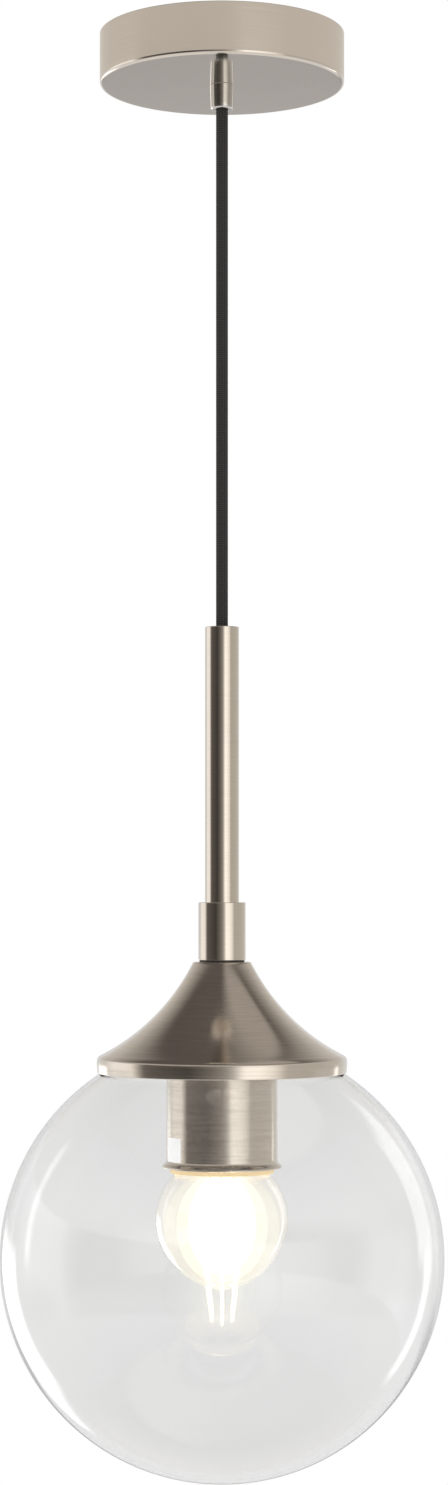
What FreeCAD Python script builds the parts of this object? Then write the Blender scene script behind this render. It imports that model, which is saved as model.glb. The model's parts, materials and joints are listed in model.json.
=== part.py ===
import FreeCAD, Part
import math
import os
import re

import Sketcher

# A pendant ceiling light: a round canopy on a crossbar, a fabric cord, a slim stem, a trumpet-shaped
# cap and a clear glass globe round one screw-base bulb. Millimetres, +Z up. The origin is the middle
# of the crossbar's top face, on the ceiling, so everything hangs below zero: a size whose name ends in
# "top", "bottom", "end" or "pivot" is a depth below the ceiling.

SIZES = {
    # crossbar on the ceiling
    "bar_thick": 2.0,
    "bar_half_width": 11.0,
    "bar_half_length": 53.2,
    "arm_start": 47.0,
    "arm_half_width": 6.0,
    "tab_bottom": 14.0,
    "tab_hole_radius": 2.05,
    "slot_start": 30.0,
    "slot_stop": 48.0,
    "slot_radius": 2.3,
    "bar_eye_radius": 8.0,
    # canopy and its side screws
    "canopy_radius": 55.0,
    "canopy_wall": 1.0,
    "canopy_top": 0.2,
    "canopy_bottom": 23.0,
    "canopy_round": 2.0,
    "canopy_hole": 4.3,
    "side_screw_depth": 8.0,
    "side_screw_radius": 1.95,
    "side_head_radius": 3.3,
    "side_head_thick": 1.3,
    "side_screw_length": 7.0,
    "head_sink": 0.15,
    "recess_width": 0.8,
    "recess_depth": 0.7,
    # cord grip through the canopy floor
    "grip_radius": 5.5,
    "grip_bottom": 34.0,
    "grip_round": 1.2,
    "grip_stem_radius": 4.0,
    "grip_stem_top": 14.0,
    "grip_bore": 3.0,
    "grip_washer_radius": 7.5,
    "grip_washer_thick": 1.0,
    "grip_nut_radius": 7.0,
    "grip_nut_thick": 3.6,
    # wiring inside the canopy
    "clamp_length": 18.0,
    "clamp_width": 8.0,
    "clamp_top": 9.3,
    "clamp_bottom": 13.8,
    "clamp_screw_offset": 6.0,
    "small_screw_radius": 1.1,
    "small_head_radius": 2.0,
    "small_head_thick": 1.2,
    "block_start": 11.0,
    "block_stop": 27.0,
    "block_half_width": 10.2,
    "block_top": 2.2,
    "block_bottom": 11.4,
    "pole_pitch": 6.6,
    "pole_depth": 6.4,
    "pole_radius": 1.9,
    "pole_bore": 1.2,
    "well_radius": 1.7,
    "block_screw_sunk": 0.8,
    "ground_screw_offset": 17.0,
    "ground_head_radius": 3.4,
    "ground_head_thick": 2.2,
    "ground_screw_radius": 1.6,
    "lead_radius": 0.85,
    "lead_bend": 1.9,
    "lead_straight": 6.5,
    "ground_lead_top": 4.6,
    "ground_lead_straight": 4.0,
    "conductor_offset": 1.3,
    "conductor_pair_offset": 0.9,
    "conductor_pair_spread": 1.2,
    # fabric cord and the places where it bends
    "cord_radius": 2.75,
    "cord_start": 8.5,
    "upper_pivot": 40.0,
    "upper_second_pivot": 52.0,
    "lower_pivot": 246.0,
    "lower_second_pivot": 258.0,
    "bend_gap": 0.3,
    "cord_stem_end": 267.3,
    "cord_end": 306.0,
    # stem, collar and what joins them to the cap
    "stem_top": 267.0,
    "stem_bottom": 416.8,
    "stem_radius": 7.65,
    "stem_wall": 0.8,
    "stem_round": 0.4,
    "bushing_top": 267.5,
    "bushing_bottom": 277.0,
    "bushing_bore": 2.95,
    "fit_gap": 0.05,
    "anchor_top": 288.0,
    "anchor_bottom": 300.0,
    "insert_top": 404.0,
    "thread_radius": 4.95,
    "thread_gap": 0.1,
    "nipple_top": 405.0,
    "nipple_bottom": 453.2,
    "nipple_bore": 3.6,
    "collar_top": 391.0,
    "collar_bottom": 417.0,
    "collar_radius": 10.65,
    "collar_bore": 8.05,
    "collar_round": 0.4,
    "washer_radius": 10.2,
    "washer_hole": 5.2,
    "plate_nut_radius": 8.1,
    # trumpet-shaped cap: its side is an arc about a centre outside the lamp
    "cap_top": 417.8,
    "cap_wall": 1.0,
    "cap_top_radius": 12.7,
    "cap_top_round": 0.7,
    "sweep_radius": 94.7,
    "sweep_centre_radius": 97.7,
    "sweep_centre_depth": 375.5,
    "cap_edge_radius": 55.05,
    "shoulder_round": 2.5,
    "skirt_radius": 56.4,
    "skirt_top": 462.3,
    "skirt_bottom": 467.7,
    "cap_nut_thick": 3.0,
    "spring_washer_thick": 1.2,
    "spring_washer_radius": 8.4,
    "spacer_radius": 7.5,
    # fitter that holds the globe's neck
    "fitter_top": 447.9,
    "fitter_wall": 0.8,
    "fitter_flat_radius": 33.0,
    "fitter_radius": 37.6,
    "fitter_corner": 451.5,
    "fitter_bottom": 457.5,
    # globe and its gasket
    "globe_radius": 100.0,
    "globe_wall": 1.8,
    "globe_centre": 551.5,
    "neck_radius": 36.0,
    "neck_top": 453.5,
    "gasket_outer": 36.3,
    "gasket_inner": 33.0,
    "gasket_thick": 1.2,
    # socket cup and sleeve
    "cup_top": 448.8,
    "cup_bottom": 510.4,
    "cup_radius": 25.0,
    "cup_wall": 0.9,
    "cup_round": 1.6,
    "lip_radius": 27.0,
    "lip_rise": 2.0,
    "cup_nut_thick": 2.5,
    "sleeve_radius": 23.4,
    "sleeve_wall": 1.0,
    "sleeve_top": 460.0,
    "sleeve_bottom": 512.6,
    "label_height": 10.8,
    "label_thick": 0.12,
    "label_top": 496.3,
    "label_angle": 27.0,
    "label_start": 196.0,
    # porcelain socket
    "socket_top": 453.0,
    "socket_radius": 20.0,
    "socket_skirt_radius": 18.4,
    "socket_shoulder": 464.0,
    "socket_bottom": 488.0,
    "socket_bore": 14.6,
    "socket_ceiling": 458.7,
    "well_bottom": 456.0,
    "well_width": 7.6,
    "trench_width": 3.0,
    "terminal_offset": 14.6,
    "terminal_head_radius": 2.4,
    "terminal_head_thick": 1.4,
    "terminal_screw_long": 3.0,
    "shell_radius": 13.9,
    "shell_wall": 0.45,
    "shell_top": 458.8,
    "shell_bottom": 486.4,
    "shell_eye": 8.5,
    "contact_radius": 3.6,
    "contact_bottom": 460.1,
    # bulb
    "bulb_radius": 30.0,
    "bulb_centre": 534.2,
    "bulb_wall": 0.8,
    "bulb_neck_radius": 13.4,
    "bulb_neck_bottom": 497.0,
    "bulb_neck_curve": 20.0,
    "base_top": 464.6,
    "base_bottom": 486.7,
    "base_radius": 12.45,
    "base_wall": 0.4,
    "base_crest": 0.6,
    "base_rim_radius": 13.1,
    "base_rim_height": 3.4,
    "thread_pitch": 3.629,
    "tip_top": 460.2,
    "tip_radius": 4.75,
    "tip_thick": 1.2,
    "stem_glass_top": 489.5,
    "stem_glass_foot": 10.8,
    "stem_glass_neck": 4.2,
    "stem_glass_bend": 497.5,
    "stem_glass_press": 512.0,
    "rod_radius": 1.1,
    "rod_bottom": 557.0,
    "filament_top": 517.0,
    "filament_bottom": 553.5,
    "filament_radius": 0.75,
    "cage_top_radius": 6.4,
    "cage_bottom_radius": 8.3,
    "wire_radius": 0.22,
    "board_half_width": 6.5,
    "board_top": 468.5,
    "board_bottom": 484.0,
    "board_thick": 1.2,
}

FILAMENTS = 6
THREAD_TURNS = 4

document = FreeCAD.newDocument("pendant_light")
sheet = document.addObject("Spreadsheet::Sheet", "sizes")
pieces = []


def fill_sheet():
    for row, (name, value) in enumerate(SIZES.items(), start=1):
        sheet.set(f"A{row}", name)
        sheet.set(f"B{row}", str(value))
        sheet.setAlias(f"B{row}", name)
    document.recompute()


def bound(text):
    """The expression with each size's name pointing at the sheet."""
    return re.sub(r"[a-z][a-z_]*[a-z]", lambda m: f"sizes.{m[0]}" if m[0] in SIZES else m[0], text)


def value(text):
    """The number that an expression gives now."""
    result = sheet.evalExpression(bound(text))
    return float(getattr(result, "Value", result))


def vector(x, y, z):
    return FreeCAD.Vector(value(x), value(y), value(z))


def keep(item, label):
    """Names a finished sub-part, which is written out at the end."""
    item.Label = label
    pieces.append(item)
    return item


def side_of(start, end, radius):
    """The middle of an arc between two points: a positive radius bulges to the right of the way."""
    chord = end - start
    half = chord.Length / 2
    rise = abs(radius) - math.sqrt(max(radius * radius - half * half, 0.0))
    across = FreeCAD.Vector(chord.y, -chord.x, 0).normalize()
    return (start + end) / 2 + across * math.copysign(rise, radius)


def draw_outline(sketch, outline):
    """A closed outline of (radius, height) corners; a third entry is the radius of the arc to it."""
    corners = [FreeCAD.Vector(value(c[0]), value(c[1]), 0) for c in outline]
    ends = []
    for number, corner in enumerate(corners):
        following = (number + 1) % len(corners)
        arc = outline[following][2] if len(outline[following]) > 2 else None
        if arc is None:
            curve = Part.LineSegment(corner, corners[following])
        else:
            curve = Part.Arc(corner, side_of(corner, corners[following], value(arc)), corners[following])
        edge = sketch.addGeometry(curve, False)
        forward = (sketch.getPoint(edge, 1) - corner).Length < 1e-6
        ends.append((edge, 1, 2) if forward else (edge, 2, 1))
        if arc is not None:
            radius = sketch.addConstraint(Sketcher.Constraint("Radius", edge, abs(value(arc))))
            sketch.setExpression(f"Constraints[{radius}]", bound(f"abs({arc})"))
    for number, (edge, start, _) in enumerate(ends):
        before, _, finish = ends[number - 1]
        sketch.addConstraint(Sketcher.Constraint("Coincident", before, finish, edge, start))
        for kind, text in (("DistanceX", outline[number][0]), ("DistanceY", outline[number][1])):
            size = value(text)
            if abs(size) < 1e-9:
                sketch.addConstraint(Sketcher.Constraint("PointOnObject", edge, start, -2))
                continue
            place = sketch.addConstraint(Sketcher.Constraint(kind, -1, 1, edge, start, size))
            sketch.setExpression(f"Constraints[{place}]", bound(text))


def new_body(name):
    return document.addObject("PartDesign::Body", name)


def sketch_on(body, role, name):
    plane = [f for f in body.Origin.OriginFeatures if f.Role == role][0]
    sketch = body.newObject("Sketcher::SketchObject", name)
    sketch.AttachmentSupport = [(plane, "")]
    sketch.MapMode = "FlatFace"
    return sketch


def turned(name, outline):
    """A body turned on a lathe: its half outline spun about the lamp's axis."""
    body = new_body(name)
    sketch = sketch_on(body, "XZ_Plane", f"{name}_outline")
    draw_outline(sketch, outline)
    spin = body.newObject("PartDesign::Revolution", f"{name}_turning")
    spin.Profile = sketch
    spin.ReferenceAxis = (sketch, ["V_Axis"])
    spin.Angle = 360
    sketch.Visibility = False
    return body


def ring(name, inner, outer, top, bottom):
    """A plain turned ring between two radii and two depths."""
    return turned(name, [(inner, f"-{top}"), (outer, f"-{top}"), (outer, f"-({bottom})"),
                         (inner, f"-({bottom})")])


def placed(item, x, y, z, rotation=None):
    for axis, text in zip("xyz", (x, y, z)):
        item.setExpression(f"Placement.Base.{axis}", bound(text))
    if rotation is not None:
        item.Placement = FreeCAD.Placement(vector(x, y, z), rotation)
    return item


def sized(kind, name, **sizes):
    item = document.addObject(kind, name)
    for size, text in sizes.items():
        item.setExpression(size, bound(text))
    return item


def box(name, corner, length, width, height):
    return placed(sized("Part::Box", name, Length=length, Width=width, Height=height), *corner)


ALONG_X = FreeCAD.Rotation(FreeCAD.Vector(0, 1, 0), 90)
ALONG_MINUS_X = FreeCAD.Rotation(FreeCAD.Vector(0, 1, 0), -90)
DOWN = FreeCAD.Rotation(FreeCAD.Vector(1, 0, 0), 180)


def cylinder(name, base, radius, height, rotation=None):
    return placed(sized("Part::Cylinder", name, Radius=radius, Height=height), *base, rotation)


def cone(name, base, start, end, height, rotation=None):
    item = sized("Part::Cone", name, Radius1=start, Radius2=end, Height=height)
    return placed(item, *base, rotation)


def fused(name, shapes):
    item = document.addObject("Part::MultiFuse", name)
    item.Shapes = shapes
    return item


def cut(name, base, tools):
    item = document.addObject("Part::Cut", name)
    item.Base = base
    item.Tool = tools[0] if len(tools) == 1 else fused(f"{name}_tools", tools)
    return item


def grouped(name, shapes):
    item = document.addObject("Part::Compound", name)
    item.Links = shapes
    return item


def hex_nut(name, top, thick, radius, bore):
    """A six-sided nut round the lamp's axis, its top face at a depth."""
    prism = sized("Part::Prism", f"{name}_blank", Circumradius=radius, Height=thick)
    prism.Polygon = 6
    placed(prism, "0", "0", f"-({top})-({thick})")
    hole = cylinder(f"{name}_bore", ("0", "0", f"-({top})-({thick})-1"), bore, f"{thick}+2")
    return keep(cut(name, prism, [hole]), name)


def screw(name, base, sizes, rotation):
    """A pan-head screw with a cross recess; the base is the middle of its head's outer face."""
    head_radius, head_thick, shank_radius, shank_length = sizes
    head = cylinder(f"{name}_head", base, head_radius, head_thick, rotation)
    shank = cylinder(f"{name}_shank", base, shank_radius, f"{head_thick}+{shank_length}", rotation)
    blank = fused(f"{name}_blank", [head, shank])
    return cut(name, blank, recess(name, base, head_radius, rotation))


def recess(name, base, head_radius, rotation):
    """The two crossed bars that a driver's tip sits in, sunk into the head's outer face."""
    bars = []
    for number, turn in enumerate((0, 90)):
        bar = sized("Part::Box", f"{name}_recess_{number}", Length=f"{head_radius}*1.2",
                    Width="recess_width", Height="2*recess_depth")
        spun = rotation.multiply(FreeCAD.Rotation(FreeCAD.Vector(0, 0, 1), turn))
        offset = FreeCAD.Vector(-value(head_radius) * 0.6, -value("recess_width") / 2,
                                -value("recess_depth"))
        bar.Placement = FreeCAD.Placement(vector(*base) + spun.multVec(offset), spun)
        bars.append(bar)
    return bars


def shaped(label, shape):
    """A sub-part whose shape comes from curves swept in space."""
    item = document.addObject("Part::Feature", label)
    item.Shape = shape
    item.Placement = FreeCAD.Placement()
    return keep(item, label)


def rod(points, radius, longest_reach=math.inf):
    """A round rod along straight runs, joined by arcs as large as the runs, or a reach, allow."""
    edges = []
    start = points[0]
    for before, corner, after in zip(points, points[1:], points[2:]):
        arrive = (corner - before).normalize()
        leave = (after - corner).normalize()
        reach = min(0.45 * (corner - before).Length, 0.45 * (after - corner).Length, longest_reach)
        half_turn = arrive.getAngle(leave) / 2
        bend = reach / math.tan(half_turn)
        inward = (leave - arrive).normalize()
        middle = corner + inward * (bend / math.cos(half_turn) - bend)
        first = corner - arrive * reach
        last = corner + leave * reach
        edges += [Part.LineSegment(start, first).toShape(), Part.Arc(first, middle, last).toShape()]
        start = last
    edges.append(Part.LineSegment(start, points[-1]).toShape())
    circle = Part.Circle(points[0], points[1] - points[0], radius).toShape()
    return Part.Wire(edges).makePipeShell([Part.Wire([circle])], True, False)


# ---- on the ceiling -------------------------------------------------------------------------------


def make_crossbar():
    """A steel strap with two slots for the ceiling screws and an ear at each end for the canopy."""
    solids = [box("bar_middle", ("-arm_start", "-bar_half_width", "-bar_thick"),
                  "2*arm_start", "2*bar_half_width", "bar_thick"),
              box("bar_arms", ("-bar_half_length", "-arm_half_width", "-bar_thick"),
                  "2*bar_half_length", "2*arm_half_width", "bar_thick")]
    holes = [cylinder("bar_eye", ("0", "0", "-bar_thick-1"), "bar_eye_radius", "bar_thick+2"),
             cylinder("bar_ground_hole", ("-ground_screw_offset", "0", "-bar_thick-1"),
                      "ground_screw_radius+fit_gap", "bar_thick+2")]
    for side, sign in (("right", ""), ("left", "-")):
        inner = "bar_half_length-bar_thick" if sign == "" else "-bar_half_length"
        solids.append(box(f"bar_ear_{side}", (inner, "-arm_half_width", "-tab_bottom"),
                          "bar_thick", "2*arm_half_width", "tab_bottom"))
        holes.append(cylinder(f"bar_ear_hole_{side}", (f"{inner}-1", "0", "-side_screw_depth"),
                              "tab_hole_radius", "bar_thick+2", ALONG_X))
        first = "slot_start+slot_radius"
        last = "slot_stop-slot_radius"
        corner = first if sign == "" else f"-({last})"
        holes.append(box(f"bar_slot_{side}", (corner, "-slot_radius", "-bar_thick-1"),
                         f"{last}-({first})", "2*slot_radius", "bar_thick+2"))
        for end, place in (("inner", first), ("outer", last)):
            holes.append(cylinder(f"bar_slot_{end}_{side}", (f"{sign}({place})", "0", "-bar_thick-1"),
                                  "slot_radius", "bar_thick+2"))
    keep(cut("crossbar", fused("bar_blank", solids), holes), "crossbar")


def make_canopy():
    """A shallow spun cup with a rounded edge, countersunk for one screw at each side."""
    shell = turned("canopy_shell", [
        ("canopy_radius-canopy_wall", "-canopy_top"),
        ("canopy_radius", "-canopy_top"),
        ("canopy_radius", "-(canopy_bottom-canopy_round)"),
        ("canopy_radius-canopy_round", "-canopy_bottom", "-canopy_round"),
        ("canopy_hole", "-canopy_bottom"),
        ("canopy_hole", "-(canopy_bottom-canopy_wall)"),
        ("canopy_radius-canopy_round", "-(canopy_bottom-canopy_wall)"),
        ("canopy_radius-canopy_wall", "-(canopy_bottom-canopy_round)", "canopy_round-canopy_wall")])
    holes = []
    for side, sign, rotation in (("right", "", ALONG_MINUS_X), ("left", "-", ALONG_X)):
        holes.append(cone(f"canopy_sink_{side}", (f"{sign}(canopy_radius+0.1)", "0", "-side_screw_depth"),
                          "side_head_radius+0.25", "side_screw_radius+0.25", "side_head_thick+0.2",
                          rotation))
    keep(cut("canopy", shell, holes), "canopy")


def make_canopy_screws():
    """Two countersunk screws, flush with the canopy's side, that run into the crossbar's ears."""
    screws = []
    for side, sign, rotation in (("right", "", ALONG_MINUS_X), ("left", "-", ALONG_X)):
        base = (f"{sign}(canopy_radius-head_sink)", "0", "-side_screw_depth")
        head = cone(f"side_head_{side}", base, "side_head_radius", "side_screw_radius",
                    "side_head_thick", rotation)
        shank = cylinder(f"side_shank_{side}", base, "side_screw_radius", "side_screw_length", rotation)
        blank = fused(f"side_blank_{side}", [head, shank])
        screws.append(cut(f"side_screw_{side}", blank,
                          recess(f"side_{side}", base, "side_head_radius", rotation)))
    keep(grouped("canopy_screws", screws), "canopy_screws")


def make_cord_grip():
    """A turned grip below the canopy; its threaded neck goes up through the canopy floor."""
    keep(turned("cord_grip", [
        ("grip_bore", "-grip_stem_top"),
        ("grip_stem_radius", "-grip_stem_top"),
        ("grip_stem_radius", "-canopy_bottom"),
        ("grip_radius", "-canopy_bottom"),
        ("grip_radius", "-(grip_bottom-grip_round)"),
        ("grip_radius-grip_round", "-grip_bottom", "-grip_round"),
        ("grip_bore", "-grip_bottom")]), "cord_grip")
    floor = "canopy_bottom-canopy_wall"
    keep(ring("grip_washer", "grip_stem_radius+0.2", "grip_washer_radius",
              f"({floor}-grip_washer_thick)", floor), "grip_washer")
    hex_nut("grip_nut", f"{floor}-grip_washer_thick-grip_nut_thick", "grip_nut_thick",
            "grip_nut_radius", "grip_stem_radius+thread_gap")


def make_cord_clamp():
    """A nylon saddle that stops the cord from pulling through the grip, with two screws."""
    block = box("clamp_block", ("-clamp_length/2", "-clamp_width/2", "-clamp_bottom"),
                "clamp_length", "clamp_width", "clamp_bottom-clamp_top")
    holes = [cylinder("clamp_bore", ("0", "0", "-clamp_bottom-1"), "cord_radius+fit_gap",
                      "clamp_bottom-clamp_top+2")]
    screws = []
    for side, sign in (("right", ""), ("left", "-")):
        place = f"{sign}clamp_screw_offset"
        holes.append(cylinder(f"clamp_hole_{side}", (place, "0", "-clamp_bottom-1"),
                              "small_screw_radius+fit_gap", "clamp_bottom-clamp_top+2"))
        screws.append(screw(f"clamp_screw_{side}", (place, "0", "-clamp_top+small_head_thick"),
                            ("small_head_radius", "small_head_thick", "small_screw_radius",
                             "clamp_bottom-clamp_top"), DOWN))
    keep(cut("cord_clamp", block, holes), "cord_clamp")
    keep(grouped("clamp_screws", screws), "clamp_screws")


def make_terminal_block():
    """A three-pole block under the crossbar: a brass sleeve and a screw from below for each pole."""
    block = box("block_blank", ("block_start", "-block_half_width", "-block_bottom"),
                "block_stop-block_start", "2*block_half_width", "block_bottom-block_top")
    holes = []
    sleeves = []
    screws = []
    for number, place in enumerate(("-pole_pitch", "0*pole_pitch", "pole_pitch")):
        base = ("block_start-1", place, "-pole_depth")
        holes.append(cylinder(f"pole_way_{number}", base, "pole_radius+fit_gap",
                              "block_stop-block_start+2", ALONG_X))
        middle = "(block_start+block_stop)/2"
        holes.append(cylinder(f"pole_well_{number}", (middle, place, "-block_bottom-1"),
                              "well_radius", "block_bottom-pole_depth+1"))
        tube = cylinder(f"pole_tube_{number}", ("block_start+1", place, "-pole_depth"),
                        "pole_radius", "block_stop-block_start-2", ALONG_X)
        bore = cylinder(f"pole_bore_{number}", base, "pole_bore", "block_stop-block_start+2", ALONG_X)
        sleeves.append(cut(f"pole_sleeve_{number}", tube, [bore]))
        screws.append(cylinder(f"pole_screw_{number}",
                               (middle, place, "-block_bottom+block_screw_sunk"),
                               "well_radius-0.25", "block_bottom-pole_depth-pole_radius-1"))
    keep(cut("terminal_block", block, holes), "terminal_block")
    keep(grouped("block_sleeves", sleeves), "block_sleeves")
    keep(grouped("block_screws", screws), "block_screws")


def make_ground_screw():
    base = ("-ground_screw_offset", "0", "-bar_thick-ground_head_thick")
    upward = FreeCAD.Rotation()
    keep(screw("ground_screw", base, ("ground_head_radius", "ground_head_thick",
                                      "ground_screw_radius", "bar_thick-0.3"), upward), "ground_screw")


def make_canopy_leads():
    """The cord's three conductors above the clamp: two to the block, one to the ground screw."""
    for label, foot, top, straight, end in (
            ("live_lead", ("conductor_pair_offset", "conductor_pair_spread"), "pole_depth",
             "lead_straight", vector("block_start+5", "pole_pitch", "-pole_depth")),
            ("neutral_lead", ("conductor_pair_offset", "-conductor_pair_spread"), "pole_depth",
             "lead_straight", vector("block_start+5", "-pole_pitch", "-pole_depth")),
            ("ground_lead", ("-conductor_offset", "0"), "ground_lead_top", "-ground_lead_straight",
             vector("-ground_screw_offset+ground_head_radius+0.1", "0",
                    "-bar_thick-lead_radius-0.3"))):
        entry = end - FreeCAD.Vector(value(straight), 0, 0)
        shaped(label, rod([vector(*foot, "-cord_start"), vector(*foot, f"-{top}"), entry, end],
                          value("lead_radius")))


# ---- fabric cord ----------------------------------------------------------------------------------


def cord_piece(label, top, pivot):
    """A length of cord whose lower end is round about the place where it bends."""
    return keep(turned(label, [("0", f"-({top})"), ("cord_radius", f"-({top})"),
                               ("cord_radius", f"-{pivot}"),
                               ("0", f"-({pivot}+cord_radius)", "-cord_radius")]), label)


def make_cord():
    """The cord in lengths that swing on each other: two bends below the grip, two above the stem."""
    cord_piece("cord_tail", "cord_start", "upper_pivot")
    for label, above, pivot in (("cord_bend_upper", "upper_pivot", "upper_second_pivot"),
                                ("cord_run", "upper_second_pivot", "lower_pivot"),
                                ("cord_bend_lower", "lower_pivot", "lower_second_pivot")):
        cord_piece(label, f"{above}+cord_radius+bend_gap", pivot)
    for label, top, bottom in (
            ("cord_stem_end", "(lower_second_pivot+cord_radius+bend_gap)", "cord_stem_end"),
            ("cord_in_stem", "(cord_stem_end+bend_gap)", "cord_end")):
        keep(turned(label, [("0", f"-{top}"), ("cord_radius", f"-{top}"),
                            ("cord_radius", f"-{bottom}"), ("0", f"-{bottom}")]), label)


# ---- stem -----------------------------------------------------------------------------------------


def make_stem():
    """The slim tube, its cord bushing, the anchor that carries the lamp and the threaded insert."""
    inside = "stem_radius-stem_wall"
    keep(turned("stem_tube", [
        (inside, "-stem_top"),
        ("stem_radius-stem_round", "-stem_top"),
        ("stem_radius", "-(stem_top+stem_round)", "-stem_round"),
        ("stem_radius", "-stem_bottom"),
        (inside, "-stem_bottom")]), "stem_tube")
    keep(ring("stem_bushing", "bushing_bore", f"{inside}-fit_gap", "bushing_top", "bushing_bottom"),
         "stem_bushing")
    keep(ring("cord_anchor", "cord_radius+fit_gap", f"{inside}-fit_gap", "anchor_top",
              "anchor_bottom"), "cord_anchor")
    keep(ring("stem_insert", "thread_radius+thread_gap", f"{inside}-fit_gap", "insert_top",
              "stem_bottom"), "stem_insert")


def make_collar():
    """The loose sleeve that hides the foot of the stem, on a thin black washer."""
    keep(turned("collar", [
        ("collar_bore", "-collar_top"),
        ("collar_radius-collar_round", "-collar_top"),
        ("collar_radius", "-(collar_top+collar_round)", "-collar_round"),
        ("collar_radius", "-collar_bottom"),
        ("collar_bore", "-collar_bottom")]), "collar")
    keep(ring("collar_washer", "washer_hole", "washer_radius", "collar_bottom", "cap_top"),
         "collar_washer")


def make_nipple():
    """The hollow threaded tube that the cap, fitter, cup and socket all hang on."""
    keep(ring("threaded_nipple", "nipple_bore", "thread_radius", "nipple_top", "nipple_bottom"),
         "threaded_nipple")
    under_cap = "cap_top+cap_wall"
    hex_nut("cap_nut", under_cap, "cap_nut_thick", "plate_nut_radius", "thread_radius+thread_gap")
    below = f"{under_cap}+cap_nut_thick"
    keep(ring("spring_washer", "washer_hole", "spring_washer_radius", f"({below}+0.1)",
              f"{below}+spring_washer_thick"), "spring_washer")
    keep(ring("spacer_tube", "washer_hole", "spacer_radius",
              f"({below}+spring_washer_thick+0.1)", "fitter_top"), "spacer_tube")
    hex_nut("cup_nut", "cup_top+cup_wall", "cup_nut_thick", "plate_nut_radius",
            "thread_radius+thread_gap")


# ---- cap, fitter and globe ------------------------------------------------------------------------


def on_sweep(radius, sweep):
    """Depth of the cap's side, a circle of a given radius, at a distance from the lamp's axis."""
    return f"(sweep_centre_depth+sqrt(({sweep})^2-(sweep_centre_radius-({radius}))^2))"


def make_cap():
    """The trumpet-shaped cap: flat top, concave side, rounded shoulder and a short upright skirt."""
    outer_start = "cap_top_radius+cap_top_round"
    inner_sweep = "sweep_radius+cap_wall"
    inner_edge = "cap_edge_radius-0.6"
    keep(turned("flared_cap", [
        ("washer_hole", "-cap_top"),
        ("cap_top_radius", "-cap_top"),
        (outer_start, f"-{on_sweep(outer_start, 'sweep_radius')}", "-cap_top_round*1.1"),
        ("cap_edge_radius", f"-{on_sweep('cap_edge_radius', 'sweep_radius')}", "sweep_radius"),
        ("skirt_radius", "-skirt_top", "-shoulder_round"),
        ("skirt_radius", "-skirt_bottom"),
        ("skirt_radius-cap_wall", "-skirt_bottom"),
        ("skirt_radius-cap_wall", "-skirt_top"),
        (inner_edge, f"-{on_sweep(inner_edge, inner_sweep)}", "shoulder_round-cap_wall"),
        ("cap_top_radius", f"-{on_sweep('cap_top_radius', inner_sweep)}", f"-({inner_sweep})"),
        ("cap_top_radius-cap_wall", "-(cap_top+cap_wall)"),
        ("washer_hole", "-(cap_top+cap_wall)")]), "flared_cap")


def make_fitter():
    """The pressed pan inside the cap whose rim takes the globe's neck."""
    inside = "fitter_radius-fitter_wall"
    keep(turned("glass_fitter", [
        ("washer_hole", "-fitter_top"),
        ("fitter_flat_radius", "-fitter_top"),
        ("fitter_radius", "-fitter_corner"),
        ("fitter_radius", "-fitter_bottom"),
        (inside, "-fitter_bottom"),
        (inside, "-(fitter_corner+fitter_wall/2)"),
        ("fitter_flat_radius-fitter_wall/2", "-(fitter_top+fitter_wall)"),
        ("washer_hole", "-(fitter_top+fitter_wall)")]), "glass_fitter")


def make_globe():
    """The clear blown globe with its short neck, and the soft gasket on the neck's rim."""
    neck_foot = "-(globe_centre-sqrt(globe_radius^2-neck_radius^2))"
    inner_radius = "globe_radius-globe_wall"
    inner_neck = "neck_radius-globe_wall"
    inner_foot = f"-(globe_centre-sqrt(({inner_radius})^2-({inner_neck})^2))"
    keep(turned("glass_globe", [
        (inner_neck, "-neck_top"),
        ("neck_radius", "-neck_top"),
        ("neck_radius", neck_foot),
        ("globe_radius", "-globe_centre", "-globe_radius"),
        ("0", "-(globe_centre+globe_radius)", "-globe_radius"),
        ("0", f"-(globe_centre+{inner_radius})"),
        (inner_radius, "-globe_centre", inner_radius),
        (inner_neck, inner_foot, inner_radius)]), "glass_globe")
    keep(ring("globe_gasket", "gasket_inner", "gasket_outer", "(neck_top-gasket_thick)", "neck_top"),
         "globe_gasket")


# ---- socket ---------------------------------------------------------------------------------------


def make_socket_cup():
    """The spun cup round the socket, with a turned-out lip, and the white rating label on it."""
    keep(turned("socket_cup", [
        ("washer_hole", "-cup_top"),
        ("cup_radius-cup_round", "-cup_top"),
        ("cup_radius", "-(cup_top+cup_round)", "-cup_round"),
        ("cup_radius", "-(cup_bottom-cup_wall-lip_rise)"),
        ("lip_radius", "-(cup_bottom-cup_wall)", "lip_rise"),
        ("lip_radius", "-cup_bottom"),
        ("cup_radius+cup_wall", "-cup_bottom"),
        ("cup_radius-cup_wall", "-(cup_bottom-lip_rise)", "-lip_rise*1.1"),
        ("cup_radius-cup_wall", "-(cup_top+cup_round)"),
        ("cup_radius-cup_round", "-(cup_top+cup_wall)", "cup_round-cup_wall"),
        ("washer_hole", "-(cup_top+cup_wall)")]), "socket_cup")
    keep(ring("socket_sleeve", "sleeve_radius-sleeve_wall", "sleeve_radius", "sleeve_top",
              "sleeve_bottom"), "socket_sleeve")


def make_rating_label():
    turn = FreeCAD.Rotation(FreeCAD.Vector(0, 0, 1), value("label_start"))
    bottom = ("0", "0", "-label_top-label_height")
    paper = cylinder("label_paper", bottom, "cup_radius+label_thick", "label_height", turn)
    paper.setExpression("Angle", bound("label_angle"))
    cup = cylinder("label_cup", ("0", "0", "-label_top-label_height-1"), "cup_radius",
                   "label_height+2")
    keep(cut("rating_label", paper, [cup]), "rating_label")


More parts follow.
